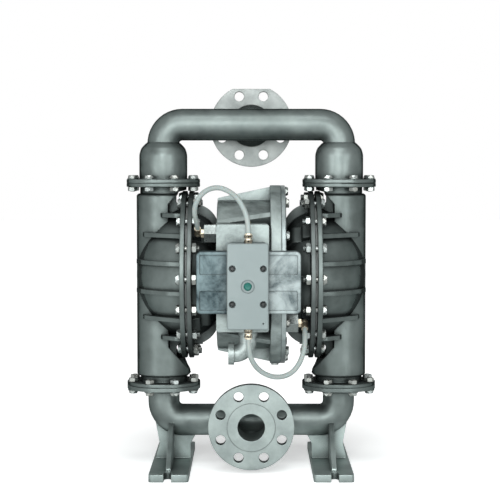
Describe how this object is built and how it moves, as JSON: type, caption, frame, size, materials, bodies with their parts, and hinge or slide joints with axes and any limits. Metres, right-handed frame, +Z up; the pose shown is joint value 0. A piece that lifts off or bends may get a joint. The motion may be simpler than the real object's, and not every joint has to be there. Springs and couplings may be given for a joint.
{
  "type": "air operated diaphragm pump",
  "caption": "Upright air operated double diaphragm pump on two feet, flanged inlet at the lower front, flanged discharge at the upper back, air valve on its centre section.",
  "frame": {"origin": "middle of the bounding box, on the floor under the feet", "axes": "+X to the pump's right as the air valve is faced, +Y to its back, +Z up"},
  "size_m": [0.489, 0.416, 0.7453],
  "materials": {
    "wetted_steel": "bead-blasted stainless casting",
    "air_chamber_steel": "dark bead-blasted stainless casting",
    "cast_aluminium": "as cast, mottled",
    "anodised_aluminium": "machined, matt anodised",
    "black_screws": "black oxide",
    "green_plastic": "moulded",
    "bright_steel": "machined",
    "brass": "turned",
    "bronze": "turned",
    "hose_plastic": "translucent, milky",
    "galvanised_iron": "galvanised",
    "zinc_bolts": "bright zinc",
    "dark_plastic": "filled",
    "white_rubber": "elastomer with a smooth face",
    "white_plastic": "fluoropolymer",
    "black_rubber": "moulded"
  },
  "bodies": {
    "pump": {"inlet_manifold": "wetted_steel", "discharge_manifold": "wetted_steel", "left_liquid_chamber": "wetted_steel", "right_liquid_chamber": "wetted_steel", "left_air_chamber": "air_chamber_steel", "right_air_chamber": "air_chamber_steel", "centre_housing": "cast_aluminium", "centre_cover": "cast_aluminium", "valve_body": "cast_aluminium", "valve_gasket": "black_rubber", "valve_cover": "anodised_aluminium", "cover_screws": "black_screws", "button_spring": "bright_steel", "left_pilot_valve": "bright_steel", "right_pilot_valve": "bright_steel", "top_hose_fitting": "brass", "bottom_hose_fitting": "brass", "left_hose_elbow": "brass", "right_hose_elbow": "brass", "upper_signal_hose": "hose_plastic", "lower_signal_hose": "hose_plastic", "air_inlet_elbow": "galvanised_iron", "drain_plug": "zinc_bolts", "left_lower_joint_bolts": "zinc_bolts", "right_lower_joint_bolts": "zinc_bolts", "left_upper_joint_bolts": "zinc_bolts", "right_upper_joint_bolts": "zinc_bolts", "left_clamp_bolts": "zinc_bolts", "right_clamp_bolts": "zinc_bolts", "centre_cover_bolts": "zinc_bolts", "left_air_chamber_screws": "black_screws", "right_air_chamber_screws": "black_screws", "left_diaphragm": "white_rubber", "right_diaphragm": "white_rubber", "left_shaft_bush": "bronze", "right_shaft_bush": "bronze", "shaft_seals": "black_rubber", "left_inlet_seat": "bright_steel", "right_inlet_seat": "bright_steel", "left_discharge_seat": "bright_steel", "right_discharge_seat": "bright_steel", "seat_rings": "white_plastic", "valve_sleeve": "bright_steel", "valve_end_plugs": "anodised_aluminium"},
    "shaft": {"main_shaft": "bright_steel", "air_piston": "cast_aluminium", "air_piston_ring": "dark_plastic", "left_inner_plate": "bright_steel", "right_inner_plate": "bright_steel", "left_outer_plate": "bright_steel", "right_outer_plate": "bright_steel"},
    "left_inlet_ball": {"left_inlet_ball": "white_plastic"},
    "right_inlet_ball": {"right_inlet_ball": "white_plastic"},
    "left_discharge_ball": {"left_discharge_ball": "white_plastic"},
    "right_discharge_ball": {"right_discharge_ball": "white_plastic"},
    "valve_spool": {"valve_spool": "bright_steel"},
    "override_button": {"override_button": "green_plastic"},
    "left_pilot_spool": {"left_pilot_spool": "bright_steel"},
    "right_pilot_spool": {"right_pilot_spool": "bright_steel"}
  },
  "joints": [
    {"name": "shaft_stroke", "type": "slide", "parent": "pump", "child": "shaft", "axis": [1, 0, 0], "range_m": [-0.025, 0.025], "deforming": ["left_diaphragm", "right_diaphragm"]},
    {"name": "left_inlet_ball_lift", "type": "slide", "parent": "pump", "child": "left_inlet_ball", "axis": [0, 0, 1], "range_m": [0, 0.012]},
    {"name": "right_inlet_ball_lift", "type": "slide", "parent": "pump", "child": "right_inlet_ball", "axis": [0, 0, 1], "range_m": [0, 0.012]},
    {"name": "left_discharge_ball_lift", "type": "slide", "parent": "pump", "child": "left_discharge_ball", "axis": [0, 0, 1], "range_m": [0, 0.012]},
    {"name": "right_discharge_ball_lift", "type": "slide", "parent": "pump", "child": "right_discharge_ball", "axis": [0, 0, 1], "range_m": [0, 0.012]},
    {"name": "spool_shift", "type": "slide", "parent": "pump", "child": "valve_spool", "axis": [1, 0, 0], "range_m": [0, 0.016]},
    {"name": "button_press", "type": "slide", "parent": "pump", "child": "override_button", "axis": [0, 1, 0], "range_m": [0, 0.003], "stiffness_N_per_m": 400, "springref_m": -0.002, "deforming": ["button_spring"]},
    {"name": "left_pilot_shift", "type": "slide", "parent": "pump", "child": "left_pilot_spool", "axis": [-1, 0, 0], "range_m": [0, 0.003]},
    {"name": "right_pilot_shift", "type": "slide", "parent": "pump", "child": "right_pilot_spool", "axis": [1, 0, 0], "range_m": [0, 0.003]}
  ]
}
